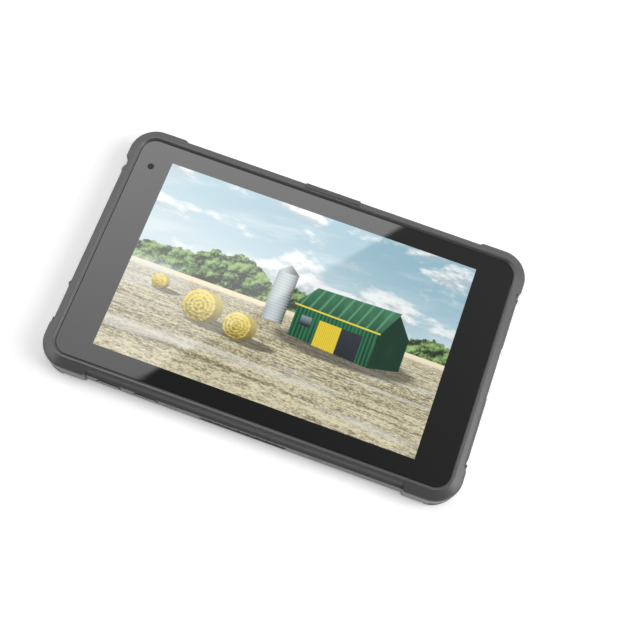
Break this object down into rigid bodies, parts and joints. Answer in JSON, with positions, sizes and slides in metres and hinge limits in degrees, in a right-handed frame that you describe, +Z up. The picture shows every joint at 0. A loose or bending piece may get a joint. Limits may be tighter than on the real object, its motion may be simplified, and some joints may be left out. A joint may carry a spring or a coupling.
{
  "type": "rugged tablet data collector",
  "caption": "Rugged hand-held tablet for field data collection: flush screen, bumpered corners, scooped front wall with keys and dock contacts, hinged port doors on both sides.",
  "frame": {"origin": "middle of the underside, on the surface that the rubber corner guards rest on", "axes": "+X along the screen to its right, +Y up the screen, +Z up through the glass"},
  "size_m": [0.2248, 0.1412, 0.0175],
  "materials": {
    "frame_shell": "fine matt moulded texture",
    "rear_shell": "matt moulded texture",
    "guard_rubber": "matt rubber",
    "door_rubber": "matt rubber",
    "seal_rubber": "soft matt",
    "screen_glass": "polished cover glass, printed black on its back, with the lit picture bonded behind it",
    "display": "glossy panel",
    "chassis_metal": "cast light alloy, blasted",
    "steel": "stamped or turned",
    "tin": "tinned",
    "brass": "knurled, turned",
    "contact_gold": "gold plated",
    "circuit_board": "solder mask",
    "battery_wrap": "shrink wrap",
    "black_plastic": "moulded",
    "key_plastic": "satin",
    "window_glass": "polished",
    "flash_lens": "clear diffuser"
  },
  "bodies": {
    "case": {"front_frame": "frame_shell", "rear_housing": "rear_shell", "housing_seal": "seal_rubber", "guard_front_left": "guard_rubber", "guard_front_right": "guard_rubber", "guard_back_left": "guard_rubber", "guard_back_right": "guard_rubber", "cover_glass": "screen_glass", "glass_gasket": "seal_rubber", "display_panel": "display", "chassis_plate": "chassis_metal", "chassis_screws": "steel", "front_camera": "black_plastic", "microphone": "contact_gold", "main_board": "circuit_board", "shield_cans": "tin", "sub_board": "circuit_board", "battery_pack": "battery_wrap", "usb_a_port": "steel", "hdmi_port": "steel", "usb_c_port": "steel", "audio_jack": "black_plastic", "card_reader": "steel", "power_inlet": "black_plastic", "io_door_pin": "steel", "card_door_pin": "steel", "inlet_door_pin": "steel", "rocker_pin": "steel", "key_bracket": "steel", "key_board": "circuit_board", "key_switches": "tin", "dock_connector": "black_plastic", "dock_contacts": "contact_gold", "dock_guides": "steel", "back_grip_pad": "guard_rubber", "rear_camera": "black_plastic", "camera_window": "window_glass", "flash_guide": "flash_lens", "speaker": "black_plastic", "speaker_mesh": "steel", "rear_screws": "steel", "mount_inserts": "brass"},
    "io_door_body": {"io_door": "door_rubber", "io_door_seal": "seal_rubber"},
    "card_door_body": {"card_door": "door_rubber", "card_door_seal": "seal_rubber"},
    "inlet_door_body": {"inlet_door": "door_rubber", "inlet_door_seal": "seal_rubber"},
    "power_key_body": {"power_key": "key_plastic"},
    "volume_rocker_body": {"volume_rocker": "key_plastic"}
  },
  "joints": [
    {"name": "io_door_hinge", "type": "hinge", "parent": "case", "child": "io_door_body", "pos_m": [-0.11005, -0.0274, 0.0096], "axis": [0, 0, 1], "range_deg": [0, 105]},
    {"name": "card_door_hinge", "type": "hinge", "parent": "case", "child": "card_door_body", "pos_m": [0.1096, 0.0179, 0.0096], "axis": [0, 0, -1], "range_deg": [0, 105]},
    {"name": "inlet_door_hinge", "type": "hinge", "parent": "case", "child": "inlet_door_body", "pos_m": [0.1096, -0.0109, 0.0096], "axis": [0, 0, 1], "range_deg": [0, 105]},
    {"name": "power_key_press", "type": "slide", "parent": "case", "child": "power_key_body", "axis": [0, 1, 0], "range_m": [0, 0.0005], "stiffness_N_per_m": 2000},
    {"name": "volume_rock", "type": "hinge", "parent": "case", "child": "volume_rocker_body", "pos_m": [-0.0522, -0.06365, 0.0093], "axis": [0, 0, 1], "range_deg": [-2, 2], "stiffness_Nm_per_rad": 0.1}
  ]
}
